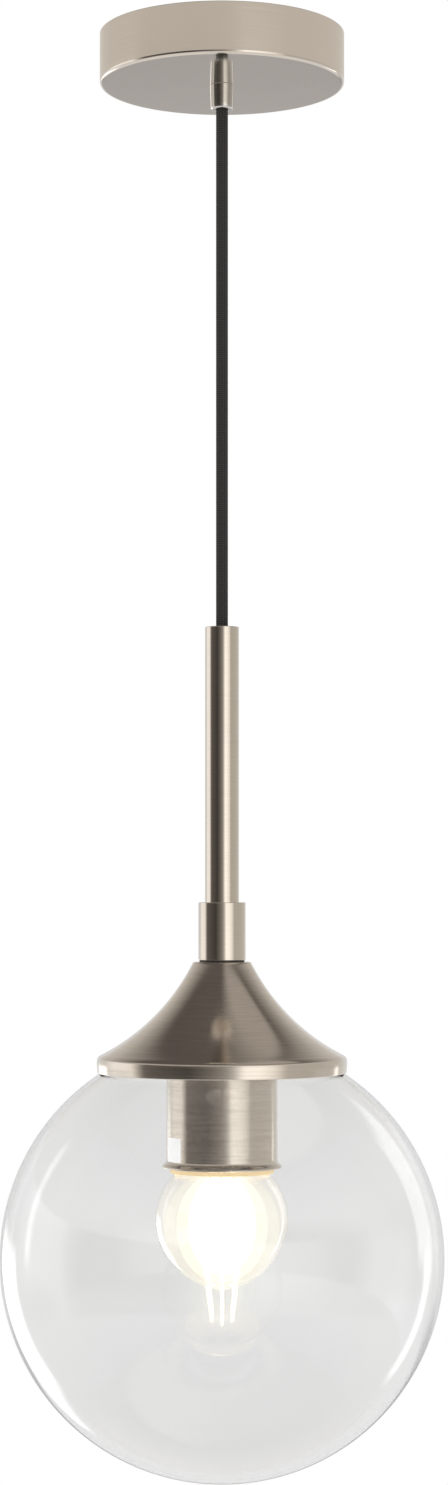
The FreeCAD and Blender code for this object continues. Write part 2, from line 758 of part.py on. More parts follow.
def make_socket():
    """The porcelain lamp-holder: a well for the nipple's end, a trench to each terminal screw."""
    body = turned("socket_blank", [
        ("0", "-socket_top"),
        ("socket_radius", "-socket_top"),
        ("socket_radius", "-socket_shoulder"),
        ("socket_skirt_radius", "-socket_shoulder"),
        ("socket_skirt_radius", "-socket_bottom"),
        ("socket_bore", "-socket_bottom"),
        ("socket_bore", "-socket_ceiling"),
        ("0", "-socket_ceiling")])
    depth = "well_bottom-socket_top+1"
    tools = [cylinder("socket_well", ("0", "0", "-well_bottom"), "well_width", depth),
             box("socket_trench", ("-terminal_offset-terminal_head_radius-0.3", "-trench_width/2",
                                   "-well_bottom"),
                 "2*(terminal_offset+terminal_head_radius+0.3)", "trench_width", depth)]
    screws = []
    for side, sign in (("right", ""), ("left", "-")):
        place = f"{sign}terminal_offset"
        tools.append(cylinder(f"terminal_seat_{side}", (place, "0", "-well_bottom"),
                              "terminal_head_radius+0.3", depth))
        tools.append(cylinder(f"terminal_hole_{side}", (place, "0", "-well_bottom-2"),
                              "small_screw_radius+fit_gap", "3"))
        screws.append(screw(f"terminal_{side}", (place, "0", "-socket_top-0.2"),
                            ("terminal_head_radius", "terminal_head_thick", "small_screw_radius",
                             "terminal_screw_long"), DOWN))
    keep(cut("socket_body", body, tools), "socket_body")
    keep(grouped("socket_terminals", screws), "socket_terminals")
    keep(turned("screw_shell", [
        ("shell_eye", "-shell_top"),
        ("shell_radius", "-shell_top"),
        ("shell_radius", "-shell_bottom"),
        ("shell_radius-shell_wall", "-shell_bottom"),
        ("shell_radius-shell_wall", "-(shell_top+shell_wall)"),
        ("shell_eye", "-(shell_top+shell_wall)")]), "screw_shell")
    keep(turned("centre_contact", [
        ("0", "-shell_top"),
        ("contact_radius", "-shell_top"),
        ("contact_radius-1", "-contact_bottom", "2"),
        ("0", "-contact_bottom")]), "centre_contact")


def make_stem_leads():
    """Two conductors from the cord's end, down the nipple, along the socket's trench."""
    level = "-(well_bottom-lead_radius-0.2)"
    for label, sign in (("stem_live_lead", ""), ("stem_neutral_lead", "-")):
        foot = vector(f"{sign}conductor_offset", "0", "-cord_end")
        corner = vector(f"{sign}conductor_offset", "0", level)
        end = vector(f"{sign}(terminal_offset-terminal_head_radius-0.1)", "0", level)
        shaped(label, rod([foot, corner, end], value("lead_radius"), value("lead_bend")))


# ---- bulb -----------------------------------------------------------------------------------------


def make_bulb_glass():
    """The clear envelope: a ball that runs through a hollow curve into a straight neck."""
    reach = "(bulb_radius+bulb_neck_curve)"
    join_radius = f"bulb_radius*(bulb_neck_radius+bulb_neck_curve)/{reach}"
    join_depth = f"(bulb_centre-bulb_radius*(bulb_centre-bulb_neck_bottom)/{reach})"
    inner = "(bulb_radius-bulb_wall)"
    inner_radius = f"{inner}*(bulb_neck_radius+bulb_neck_curve)/{reach}"
    inner_depth = f"(bulb_centre-{inner}*(bulb_centre-bulb_neck_bottom)/{reach})"
    rim = "-(base_bottom+0.1)"
    keep(turned("bulb_glass", [
        ("bulb_neck_radius-bulb_wall", rim),
        ("bulb_neck_radius", rim),
        ("bulb_neck_radius", "-bulb_neck_bottom"),
        (join_radius, f"-{join_depth}", "bulb_neck_curve"),
        ("bulb_radius", "-bulb_centre", "-bulb_radius"),
        ("0", "-(bulb_centre+bulb_radius)", "-bulb_radius"),
        ("0", f"-(bulb_centre+{inner})"),
        (inner, "-bulb_centre", inner),
        (inner_radius, f"-{inner_depth}", inner),
        ("bulb_neck_radius-bulb_wall", "-bulb_neck_bottom", "-(bulb_neck_curve+bulb_wall)")]),
        "bulb_glass")


def make_bulb_base():
    """The rolled screw base with a real thread, its black glass insulator and its tip contact."""
    pitch = value("thread_pitch")
    core = turned("base_core", [
        ("base_radius-base_wall", "-base_top"),
        ("base_radius", "-base_top"),
        ("base_radius", "-(base_bottom-base_rim_height)"),
        ("base_rim_radius", "-(base_bottom-base_rim_height+1.2)"),
        ("base_rim_radius", "-base_bottom"),
        ("base_rim_radius-base_wall", "-base_bottom"),
        ("base_rim_radius-base_wall", "-(base_bottom-base_rim_height+1.4)"),
        ("base_radius-base_wall", "-(base_bottom-base_rim_height+0.2)")])
    document.recompute()
    radius = value("base_radius")
    helix = Part.makeHelix(pitch, pitch * THREAD_TURNS, radius)
    start = FreeCAD.Vector(radius - 0.15, 0, -pitch * 0.3)
    crest = FreeCAD.Vector(radius + value("base_crest"), 0, 0)
    end = FreeCAD.Vector(radius - 0.15, 0, pitch * 0.3)
    profile = Part.Wire([Part.Arc(start, crest, end).toShape(), Part.LineSegment(end, start).toShape()])
    ridge = Part.Wire(helix.Edges).makePipeShell([profile], True, True)
    ridge.translate(FreeCAD.Vector(0, 0, -value("base_bottom-base_rim_height-2")))
    shaped("bulb_base", core.Shape.fuse(ridge))
    keep(turned("bulb_insulator", [
        ("0", "-(tip_top+tip_thick)"),
        ("tip_radius", "-(tip_top+tip_thick)"),
        ("base_radius-base_wall-0.3", "-base_top"),
        ("base_radius-base_wall-0.3", "-(base_top+1.6)"),
        ("0", "-(base_top+1.6)")]), "bulb_insulator")
    keep(turned("bulb_tip", [
        ("0", "-tip_top"),
        ("tip_radius-1", "-tip_top"),
        ("tip_radius", "-(tip_top+tip_thick)", "-1.5"),
        ("0", "-(tip_top+tip_thick)")]), "bulb_tip")
    keep(box("bulb_driver", ("-board_half_width", "-board_thick/2", "-board_bottom"),
             "2*board_half_width", "board_thick", "board_bottom-board_top"), "bulb_driver")


def make_bulb_stem():
    """The glass foot that is melted into the neck, its pressed end and the rod down the middle."""
    keep(turned("bulb_stem", [
        ("0", "-stem_glass_top"),
        ("stem_glass_foot", "-stem_glass_top"),
        ("stem_glass_neck", "-stem_glass_bend", "stem_glass_bend-stem_glass_top"),
        ("stem_glass_neck", "-stem_glass_press"),
        ("rod_radius", "-(stem_glass_press+2)"),
        ("rod_radius", "-rod_bottom"),
        ("0", "-rod_bottom")]), "bulb_stem")


def round_the_cage(number, radius, depth):
    angle = math.radians(360 * (number + 0.5) / FILAMENTS)
    return FreeCAD.Vector(radius * math.cos(angle), radius * math.sin(angle), -depth)


def make_filaments():
    """Six light-giving sticks leaning out a little, and the fine wires that hold them."""
    sticks = []
    wires = []
    for number in range(FILAMENTS):
        top = round_the_cage(number, value("cage_top_radius"), value("filament_top"))
        bottom = round_the_cage(number, value("cage_bottom_radius"), value("filament_bottom"))
        way = bottom - top
        sticks.append(Part.makeCylinder(value("filament_radius"), way.Length, top, way))
        upper = round_the_cage(number, value("stem_glass_neck") + 0.3, value("stem_glass_press") - 1)
        lower = round_the_cage(number, value("rod_radius") + 0.05, value("rod_bottom") - 1)
        for first, last in ((upper, top), (lower, bottom)):
            span = last - first
            wires.append(Part.makeCylinder(value("wire_radius"), span.Length, first, span))
    shaped("filaments", Part.makeCompound(sticks))
    shaped("filament_wires", Part.makeCompound([w.cut(sticks) for w in wires]))


def build():
    fill_sheet()
    for make in (make_crossbar, make_canopy, make_canopy_screws, make_cord_grip, make_cord_clamp,
                 make_terminal_block, make_ground_screw, make_canopy_leads, make_cord, make_stem,
                 make_collar, make_nipple, make_cap, make_fitter, make_globe, make_socket_cup,
                 make_rating_label, make_socket, make_stem_leads, make_bulb_glass, make_bulb_base,
                 make_bulb_stem, make_filaments):
        make()
    document.recompute()


def check():
    for item in document.Objects:
        if {"Invalid", "Error"} & set(item.State):
            raise RuntimeError(f"{item.Name} did not build: {item.State}")
    for piece in pieces:
        if piece.Shape.isNull() or not piece.Shape.isValid():
            raise RuntimeError(f"{piece.Label} has no sound shape")


def write():
    os.makedirs("parts", exist_ok=True)
    for piece in pieces:
        piece.Shape.exportStep(f"parts/{piece.Label}.step")
        print(f"{piece.Label}: {piece.Shape.Volume:.1f} mm3, {len(piece.Shape.Solids)} solid(s)")


build()
check()
write()
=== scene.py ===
import json
import math

import bpy
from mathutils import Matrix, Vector


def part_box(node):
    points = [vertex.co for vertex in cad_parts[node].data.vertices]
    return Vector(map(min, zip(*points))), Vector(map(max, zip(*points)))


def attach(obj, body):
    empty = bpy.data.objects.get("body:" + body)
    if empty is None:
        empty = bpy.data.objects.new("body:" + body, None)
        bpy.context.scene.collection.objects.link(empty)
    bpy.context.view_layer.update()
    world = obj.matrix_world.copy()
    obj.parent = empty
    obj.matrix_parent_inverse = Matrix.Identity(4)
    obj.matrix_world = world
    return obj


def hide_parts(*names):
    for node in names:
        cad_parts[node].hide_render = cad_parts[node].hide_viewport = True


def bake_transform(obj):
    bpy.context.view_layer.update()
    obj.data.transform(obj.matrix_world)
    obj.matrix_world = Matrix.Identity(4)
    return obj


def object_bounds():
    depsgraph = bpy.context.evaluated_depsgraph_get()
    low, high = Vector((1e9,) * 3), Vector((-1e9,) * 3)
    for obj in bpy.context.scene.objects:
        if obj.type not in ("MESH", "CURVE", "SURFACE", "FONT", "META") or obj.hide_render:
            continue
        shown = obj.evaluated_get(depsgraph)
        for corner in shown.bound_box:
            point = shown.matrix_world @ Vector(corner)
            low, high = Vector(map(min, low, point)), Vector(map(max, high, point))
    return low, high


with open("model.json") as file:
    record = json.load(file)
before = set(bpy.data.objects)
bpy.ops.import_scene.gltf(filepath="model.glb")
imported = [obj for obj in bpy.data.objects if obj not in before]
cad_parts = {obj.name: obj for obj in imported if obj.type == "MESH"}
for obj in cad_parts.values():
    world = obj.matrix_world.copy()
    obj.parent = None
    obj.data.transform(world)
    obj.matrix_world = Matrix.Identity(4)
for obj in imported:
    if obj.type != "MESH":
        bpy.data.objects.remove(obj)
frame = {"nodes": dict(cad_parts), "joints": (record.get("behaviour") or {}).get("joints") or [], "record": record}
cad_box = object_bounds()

# The looks of a pendant ceiling light, in metres, in the frame of its CAD model: the ceiling is z = 0,
# the lamp's axis is the z axis, and everything hangs below. Sizes come from the CAD nodes' boxes.

MM = 0.001
AROUND = 160
SMOOTH_BELOW = math.radians(32)
SAME_POINT = 1e-7

# How much of the way to the next corner a rounding may take, so that two neighbours never meet.
ROUNDING_SHARE = 0.48

# A straight longer than this gets a point this close to an end that meets a run of far shorter steps.
LONG_STRAIGHT = 1.0 * MM
STEADY_REACH = 0.12 * MM
FAR_SHORTER = 0.4


# ---- outlines and turned pieces -------------------------------------------------------------------


def top(node):
    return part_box(node)[1].z


def bottom(node):
    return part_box(node)[0].z


def reach(node):
    """The largest distance of a round node from the lamp's axis."""
    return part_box(node)[1].x


def arc(centre, radius, start, stop, steps):
    """Points on a circle, as (distance from the axis, height), between two angles in degrees."""
    turns = [math.radians(start + (stop - start) * n / steps) for n in range(steps + 1)]
    return [(centre[0] + radius * math.cos(t), centre[1] + radius * math.sin(t)) for t in turns]


def rounded(corners, steps):
    """An outline whose corners, given as (radius, height) or (radius, height, rounding), are eased."""
    outline = []
    for number, corner in enumerate(corners):
        if len(corner) < 3:
            outline.append(corner)
            continue
        here = Vector(corner[:2])
        before = Vector(corners[number - 1][:2]) - here
        after = Vector(corners[(number + 1) % len(corners)][:2]) - here
        span = min(corner[2], ROUNDING_SHARE * before.length, ROUNDING_SHARE * after.length)
        first = here + before.normalized() * span
        last = here + after.normalized() * span
        for step in range(steps + 1):
            t = step / steps
            outline.append(tuple(first * (1 - t) ** 2 + here * (2 * t * (1 - t)) + last * t * t))
    return outline


def steadied(outline):
    """The outline with a point near each eased end of its long straights, which keeps them flat to
    the smooth shading."""
    steady = []
    count = len(outline)
    for number, point in enumerate(outline):
        here = Vector(point)
        after = Vector(outline[(number + 1) % count])
        straight = (after - here).length
        steady.append(point)
        if straight > LONG_STRAIGHT:
            along = (after - here).normalized() * STEADY_REACH
            if (here - Vector(outline[number - 1])).length < FAR_SHORTER * straight:
                steady.append(tuple(here + along))
            if (Vector(outline[(number + 2) % count]) - after).length < FAR_SHORTER * straight:
                steady.append(tuple(after - along))
    return steady


def turned(name, outline, around=AROUND):
    """A closed outline of (radius, height) spun about the lamp's axis, with smooth faces."""
    outline = steadied(outline)
    rings = len(outline)
    points = []
    for step in range(around):
        turn = 2 * math.pi * step / around
        points += [(r * math.cos(turn), r * math.sin(turn), z) for r, z in outline]
    faces = []
    for step in range(around):
        here = step * rings
        there = (step + 1) % around * rings
        faces += [(here + n, there + n, there + (n + 1) % rings, here + (n + 1) % rings)
                  for n in range(rings)]
    return smooth_mesh(name, points, faces)


def smooth_mesh(name, points, faces):
    """A piece from points and faces, closed where points meet, smooth but for its sharp edges."""
    mesh = bpy.data.meshes.new(name)
    mesh.from_pydata(points, [], faces)
    piece = bpy.data.objects.new(name, mesh)
    bpy.context.scene.collection.objects.link(piece)
    bpy.ops.object.select_all(action="DESELECT")
    bpy.context.view_layer.objects.active = piece
    piece.select_set(True)
    bpy.ops.object.mode_set(mode="EDIT")
    bpy.ops.mesh.select_all(action="SELECT")
    bpy.ops.mesh.remove_doubles(threshold=SAME_POINT)
    bpy.ops.mesh.normals_make_consistent(inside=False)
    bpy.ops.object.mode_set(mode="OBJECT")
    bpy.ops.object.shade_smooth_by_angle(angle=SMOOTH_BELOW)
    return piece


def stand_in(piece, body, slot, material, *nodes):
    """Puts a finished piece on its CAD body, in place of the plain CAD nodes."""
    piece.data.materials.clear()
    piece.data.materials.append(material)
    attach(piece, body)
    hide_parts(*nodes)
    return piece


# ---- materials ------------------------------------------------------------------------------------


class Nodes:
    """A material's or world's node tree, with short calls to add a node and to join two."""

    def __init__(self, owner):
        owner.use_nodes = True
        self.tree = owner.node_tree
        self.tree.nodes.clear()

    def add(self, kind, inputs=None, **settings):
        node = self.tree.nodes.new(kind)
        for key, value in settings.items():
            setattr(node, key, value)
        for key, value in (inputs or {}).items():
            socket = node.inputs[key]
            if isinstance(value, bpy.types.NodeSocket):
                self.tree.links.new(value, socket)
            else:
                socket.default_value = value
        return node

    def math(self, operation, first, second=None, third=None):
        values = {n: v for n, v in enumerate((first, second, third)) if v is not None}
        return self.add("ShaderNodeMath", values, operation=operation).outputs[0]

    def ramp(self, factor, stops):
        """A colour, or with plain numbers a grey level, that runs from stop to stop."""
        node = self.add("ShaderNodeValToRGB", {"Fac": factor})
        marks = node.color_ramp.elements
        while len(marks) < len(stops):
            marks.new(0.5)
        for mark, (place, shade) in zip(marks, stops):
            mark.position = place
            mark.color = (*(shade if isinstance(shade, tuple) else (shade,) * 3), 1)
        return node.outputs["Color"]

    def surface(self, **inputs):
        """A Principled surface wired to the output; a name's underscores stand for spaces."""
        shader = self.add("ShaderNodeBsdfPrincipled",
                          {key.replace("_", " "): value for key, value in inputs.items()})
        self.add("ShaderNodeOutputMaterial", {"Surface": shader.outputs[0]})

    def place(self):
        """The surface's place in the object's own frame: x, y and z sockets, and the whole vector."""
        vector = self.add("ShaderNodeTexCoord").outputs["Object"]
        parts = self.add("ShaderNodeSeparateXYZ", {0: vector}).outputs
        return parts[0], parts[1], parts[2], vector

    def blend(self, share, first, second):
        """A colour between two others."""
        return self.add("ShaderNodeMix", {0: share, 6: first, 7: second}, data_type="RGBA").outputs[2]

    def noise(self, vector, scale, detail=3.0, roughness=0.55):
        return self.add("ShaderNodeTexNoise", {"Vector": vector, "Scale": scale, "Detail": detail,
                                               "Roughness": roughness}).outputs["Fac"]

    def bump(self, height, distance, strength=1.0):
        return self.add("ShaderNodeBump", {"Height": height, "Distance": distance,
                                           "Strength": strength}).outputs["Normal"]


NICKEL = (0.70, 0.635, 0.565)


def new_material(name):
    material = bpy.data.materials.new(name)
    return material, Nodes(material)


def spun_lines(nodes, across):
    """Fine lines that run round the lamp's axis, as a wheel leaves them on a spun part."""
    along = 1.6
    x, y, z, _ = nodes.place()
    turn = nodes.math("ARCTAN2", y, x)
    distance = nodes.math("SQRT", nodes.math("ADD", nodes.math("MULTIPLY", x, x),
                                             nodes.math("MULTIPLY", y, y)))
    lines = nodes.add("ShaderNodeCombineXYZ", {
        "X": nodes.math("MULTIPLY", turn, along),
        "Y": nodes.math("MULTIPLY", distance, across),
        "Z": nodes.math("MULTIPLY", z, across)}).outputs[0]
    return nodes.noise(lines, 1.0, 4.0, 0.65)


def brushed_nickel(name, roughness, stretch, line_depth, streak):
    """Warm nickel with spun lines in its bump and gloss, and streaks and faint clouds in its colour."""
    material, nodes = new_material(name)
    lines = spun_lines(nodes, 1500.0)
    cloud = nodes.noise(nodes.place()[3], 38.0, 2.0)
    shade = nodes.math("ADD", nodes.math("MULTIPLY", lines, 0.7),
                       nodes.math("MULTIPLY", cloud, 0.3))
    dark = tuple(c * (1 - streak) for c in NICKEL)
    light = tuple(c * (1 + streak / 2) for c in NICKEL)
    colour = nodes.ramp(shade, ((0.3, dark), (0.7, light)))
    gloss = nodes.math("MULTIPLY_ADD", lines, 0.08, roughness - 0.04)
    tangent = nodes.add("ShaderNodeTangent", direction_type="RADIAL", axis="Z").outputs[0]
    nodes.surface(Base_Color=colour, Metallic=1.0, Roughness=gloss, Anisotropic=stretch,
                  Anisotropic_Rotation=0.25, Tangent=tangent, Normal=nodes.bump(lines, line_depth, 0.5))
    return material


def polished_nickel():
    material, nodes = new_material("polished_nickel")
    lines = spun_lines(nodes, 5000.0)
    colour = nodes.ramp(lines, ((0.3, (0.52, 0.50, 0.47)), (0.7, (0.64, 0.62, 0.59))))
    gloss = nodes.math("MULTIPLY_ADD", lines, 0.06, 0.03)
    nodes.surface(Base_Color=colour, Metallic=1.0, Roughness=gloss)
    return material


def plain_metal(name, dark, light, roughness, scale=220.0):
    """Sheet or bar metal as it comes: a mottled colour, an uneven gloss and a slight grain."""
    material, nodes = new_material(name)
    place = nodes.place()[3]
    mottle = nodes.noise(place, scale, 5.0, 0.6)
    grain = nodes.noise(place, scale * 9, 2.0)
    colour = nodes.ramp(mottle, ((0.3, dark), (0.7, light)))
    gloss = nodes.math("MULTIPLY_ADD", mottle, 0.2, roughness - 0.1)
    nodes.surface(Base_Color=colour, Metallic=1.0, Roughness=gloss,
                  Normal=nodes.bump(grain, 0.00001, 0.4))
    return material


def moulded(name, colour, roughness, coat=0.0, subsurface=0.0, glow=(0, 0, 0),
            glow_strength=0.0):
    """A moulded plastic, rubber or glaze: nearly even colour over a very fine orange peel, with an optional glow
    that paints light onto a part that gives none.
    """
    material, nodes = new_material(name)
    place = nodes.place()[3]
    mottle = nodes.noise(place, 90.0, 3.0)
    peel = nodes.noise(place, 1600.0, 2.0)
    shade = nodes.ramp(mottle, ((0.3, tuple(c * 0.93 for c in colour)),
                                (0.7, tuple(min(1.0, c * 1.05) for c in colour))))
    gloss = nodes.math("MULTIPLY_ADD", mottle, 0.1, roughness - 0.05)
    nodes.surface(Base_Color=shade, Roughness=gloss, Coat_Weight=coat, Subsurface_Weight=subsurface,
                  Emission_Color=(*glow, 1), Emission_Strength=glow_strength,
                  Normal=nodes.bump(peel, 0.00002, 0.3))
    return material


def clear_glass(name, tint, roughness=0.0, glow=None, glow_strength=0.0):
    """Clear glass, which a faint glow of its own can light from within."""
    material, nodes = new_material(name)
    inputs = {"Base_Color": (*tint, 1), "Roughness": roughness, "IOR": 1.5, "Transmission_Weight": 1.0}
    if glow:
        inputs["Emission_Color"] = (*glow, 1)
        inputs["Emission_Strength"] = glow_strength
    nodes.surface(**inputs)
    return material


def woven_fabric():
    """Black braided yarn: two sets of threads that cross round the cord, with loose fibre."""
    material, nodes = new_material("black_fabric")
    x, y, z, place = nodes.place()
    turn = nodes.math("MULTIPLY", nodes.math("ARCTAN2", y, x), BRAID_THREADS)
    climb = nodes.math("MULTIPLY", z, BRAID_RATE)
    right = nodes.math("SINE", nodes.math("ADD", turn, climb))
    left = nodes.math("SINE", nodes.math("SUBTRACT", turn, climb))
    weave = nodes.math("MULTIPLY_ADD", nodes.math("MULTIPLY", right, left), 0.5, 0.5)
    fibre = nodes.noise(place, 5200.0, 3.0, 0.7)
    shade = nodes.math("ADD", nodes.math("MULTIPLY", weave, 0.65),
                       nodes.math("MULTIPLY", fibre, 0.35))
    colour = nodes.ramp(shade, ((0.2, (0.006, 0.006, 0.0065)), (0.85, (0.036, 0.035, 0.035))))
    nodes.surface(Base_Color=colour, Roughness=0.85, Specular_IOR_Level=0.3, Sheen_Weight=0.12,
                  Sheen_Roughness=0.5, Normal=nodes.bump(shade, 0.00015, 0.6))
    return material


def glowing_filament():
    """Phosphor-coated sticks, alight: warm white, a little yellower where the coat is thick."""
    material, nodes = new_material("filament_glow")
    coat = nodes.noise(nodes.place()[3], 900.0, 2.0)
    colour = nodes.ramp(coat, ((0.3, (1.0, 0.74, 0.38)), (0.7, (1.0, 0.84, 0.55))))
    nodes.surface(Base_Color=colour, Roughness=0.5, Emission_Color=(1.0, 0.80, 0.48, 1),
                  Emission_Strength=60.0)
    return material


def lit_air():
    """The light that hangs round the filaments, thin enough to see through. A shell's girth, worked
    out from its distance from the axis and the tilt of its face, sets how strong it glows."""
    widest = 0.03
    just_over_one = 1.02
    material, nodes = new_material("lit_air")
    x, y, _, _ = nodes.place()
    flat = nodes.add("ShaderNodeCombineXYZ", {0: x, 1: y}).outputs[0]
    away = nodes.add("ShaderNodeVectorMath", {0: flat}, operation="LENGTH").outputs["Value"]
    normal = nodes.add("ShaderNodeTexCoord").outputs["Normal"]
    level = nodes.add("ShaderNodeVectorMath", {0: normal, 1: (0, 0, 1)},
                      operation="DOT_PRODUCT").outputs["Value"]
    sideways = nodes.math("SUBTRACT", just_over_one, nodes.math("MULTIPLY", level, level))
    girth = nodes.math("DIVIDE", away, nodes.math("SQRT", sideways))
    glow = nodes.ramp(nodes.math("DIVIDE", girth, widest),
                      ((0.3, 13.0), (0.52, 6.0), (0.7, 3.2), (0.9, 1.7)))
    nodes.surface(Base_Color=(0, 0, 0, 1), Roughness=1.0, Specular_IOR_Level=0.0, Alpha=0.04,
                  Emission_Color=(1.0, 0.93, 0.62, 1), Emission_Strength=glow)
    return material


def paper_label_with_painted_light():
    material, nodes = new_material("white_label")
    fibre = nodes.noise(nodes.place()[3], 700.0, 4.0)
    colour = nodes.ramp(fibre, ((0.3, (0.84, 0.84, 0.82)), (0.7, (0.93, 0.93, 0.92))))
    # The emission is painted light: an even white glow that brightens the paper as if the bulb lit it, though the
    # label gives no light.
    nodes.surface(Base_Color=colour, Roughness=0.42, Coat_Weight=0.3, Coat_Roughness=0.2,
                  Emission_Color=(1, 1, 1, 1), Emission_Strength=0.55,
                  Normal=nodes.bump(fibre, 0.00002, 0.2))
    return material


def floor_paint():
    material, nodes = new_material("floor_paint")
    cloud = nodes.noise(nodes.place()[3], 1.2, 2.0)
    colour = nodes.ramp(cloud, ((0.3, (0.86, 0.86, 0.86)), (0.7, (0.88, 0.88, 0.88))))
    nodes.surface(Base_Color=colour, Roughness=0.9, Emission_Color=(1, 1, 1, 1),
                  Emission_Strength=0.54)
    return material


def make_materials():
    """The finishes by name: one for each of the record's material slots, two more nickels and the
    lit air."""
    return {
        "brushed_nickel": brushed_nickel("brushed_nickel", 0.17, 0.3, 0.000008, 0.15),
        "drawn_nickel": brushed_nickel("drawn_nickel", 0.05, 0.0, 0.0000005, 0.08),
        "satin_nickel": brushed_nickel("satin_nickel", 0.1, 0.2, 0.000001, 0.03),
        "polished_nickel": polished_nickel(),
        "zinc_steel": plain_metal("zinc_steel", (0.42, 0.43, 0.44), (0.60, 0.61, 0.61), 0.32),
        "brass": plain_metal("brass", (0.56, 0.40, 0.16), (0.76, 0.58, 0.28), 0.28),
        "base_metal": plain_metal("base_metal", (0.58, 0.57, 0.54), (0.72, 0.71, 0.68), 0.22),
        "solder": plain_metal("solder", (0.42, 0.42, 0.43), (0.58, 0.58, 0.59), 0.4, 700.0),
        "wire": plain_metal("wire", (0.42, 0.41, 0.40), (0.58, 0.57, 0.56), 0.25, 900.0),
        "black_fabric": woven_fabric(),
        "black_plastic": moulded("black_plastic", (0.022, 0.022, 0.023), 0.45),
        "nylon": moulded("nylon", (0.80, 0.79, 0.74), 0.4, 0.0, 0.15),
        "live_insulation": moulded("live_insulation", (0.02, 0.02, 0.02), 0.35),
        "neutral_insulation": moulded("neutral_insulation", (0.80, 0.80, 0.78), 0.35),
        "ground_insulation": moulded("ground_insulation", (0.05, 0.30, 0.09), 0.35),
        "globe_glass": clear_glass("globe_glass", (0.992, 0.996, 0.994)),
        "bulb_clear": clear_glass("bulb_clear", (0.995, 0.99, 0.975), 0.0, (1.0, 0.84, 0.60), 0.03),
        "stem_glass": clear_glass("stem_glass", (0.96, 0.98, 0.97), 0.03),
        "insulator_glass": moulded("insulator_glass", (0.012, 0.012, 0.016), 0.12, 0.6),
        "silicone": moulded("silicone", (0.70, 0.70, 0.67), 0.5, 0.0, 0.2),
        "porcelain": moulded("porcelain", (0.84, 0.82, 0.77), 0.15, 0.7),
        # The liner's warm emission is painted light: it stands in for the bulb's light falling on the liner, which
        # gives no light of its own.
        "liner": moulded("liner", (0.74, 0.66, 0.50), 0.6, 0.0, 0.0, (1.0, 0.72, 0.34), 0.55),
        "white_label": paper_label_with_painted_light(),
        "filament_glow": glowing_filament(),
        "lit_air": lit_air(),
        "board": moulded("board", (0.03, 0.18, 0.07), 0.3, 0.3),
    }


def dress_nodes(finish):
    """Gives every CAD node the finish of its material slot."""
    for part in frame["record"]["subparts"]:
        slots = frame["nodes"][part["node"]].data.materials
        slots.clear()
        slots.append(finish[part["material_slot"]])


# ---- cord -----------------------------------------------------------------------------------------

BRAID_THREADS = 8.0
BRAID_RATE = 3400.0
BRAID_RELIEF = 0.06 * MM
CORD_RADIUS = 2.69 * MM
CORD_AROUND = 48
CORD_STEP = 0.35 * MM


def cord_tube(name, start, stop):
    """A braided tube down the axis, with the yarn's crossings raised, and the points it follows."""
    steps = max(2, round((start - stop) / CORD_STEP))
    heights = [start + (stop - start) * n / steps for n in range(steps + 1)]
    points = [(0, 0, start)]
    for z in heights:
        for step in range(CORD_AROUND):
            turn = 2 * math.pi * step / CORD_AROUND
            weave = (math.sin(BRAID_THREADS * turn + BRAID_RATE * z)
                     * math.sin(BRAID_THREADS * turn - BRAID_RATE * z))
            radius = CORD_RADIUS + BRAID_RELIEF * weave
            points.append((radius * math.cos(turn), radius * math.sin(turn), z))
    points.append((0, 0, stop))
    faces = []
    last = len(points) - 1
    for step in range(CORD_AROUND):
        following = (step + 1) % CORD_AROUND
        faces.append((0, 1 + following, 1 + step))
        faces.append((last, last - CORD_AROUND + step, last - CORD_AROUND + following))
        for ring in range(steps):
            here = 1 + ring * CORD_AROUND
            faces.append((here + step, here + following, here + CORD_AROUND + following,
                          here + CORD_AROUND + step))
    return smooth_mesh(name, points, faces), [(0, 0, z) for z in heights]


def pivot(name):
    """Height of a joint's pivot."""
    return next(j["pos_m"][2] for j in frame["joints"] if j["name"] == name)


def make_cord(fabric):
    """The taut cord in four tubes that meet end to end, in place of the cord's CAD nodes; the tubes are not put on
    the bodies.
    """
    ends = [top("cord_tail"), (pivot("swing_x") + pivot("swing_y")) / 2,
            (pivot("swing_y") + pivot("tilt_x")) / 2,
            (pivot("tilt_x") + pivot("tilt_y")) / 2, bottom("cord_stem_end")]
    plan = (("cord_at_grip", "swing_x", ("ceiling", "upper_bend"), ("cord_tail",)),
            ("cord_upper", "swing_y", ("upper_bend", "cord"), ("cord_bend_upper", "cord_run")),
            ("cord_lower", "tilt_x", ("cord", "lower_bend"), ("cord_run",)),
            ("cord_at_stem", "tilt_y", ("lower_bend", "stem_end"), ("cord_bend_lower", "cord_stem_end")))
    tubes = []
    for (name, joint, bodies, nodes), start, stop in zip(plan, ends, ends[1:]):
        tube, path = cord_tube(name, start, stop)
        tube.data.materials.append(fabric)
        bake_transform(tube)
        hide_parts(*nodes)
        tubes.append((tube, path))
    for number, beside in ((1, 0), (2, 3)):
        tube, path = tubes[number]


# ---- turned metal ---------------------------------------------------------------------------------


def make_canopy():
    """A shallow pan, open to the ceiling, with a hole for the grip's neck."""
    wall = 1.0 * MM
    edge = 1.5 * MM
    hole = 4.3 * MM
    side = reach("canopy")
    rim = top("canopy")
    floor = bottom("canopy")
    outline = rounded([(side - wall, rim, 0.2 * MM), (side, rim, 0.25 * MM), (side, floor, edge),
                       (hole, floor, 0.15 * MM), (hole, floor + wall, 0.15 * MM),
                       (side - wall, floor + wall, edge - wall)], 8)
    return turned("canopy_shell", outline, 224)


def ring_outline(node, inner, ease=0.25 * MM):
    """The half outline of a plain ring node: its box gives all but the bore."""
    outer = reach(node)
    high = top(node)
    low = bottom(node)
    return rounded([(inner, high, ease), (outer, high, ease),
                    (outer, low, ease), (inner, low, ease)], 4)


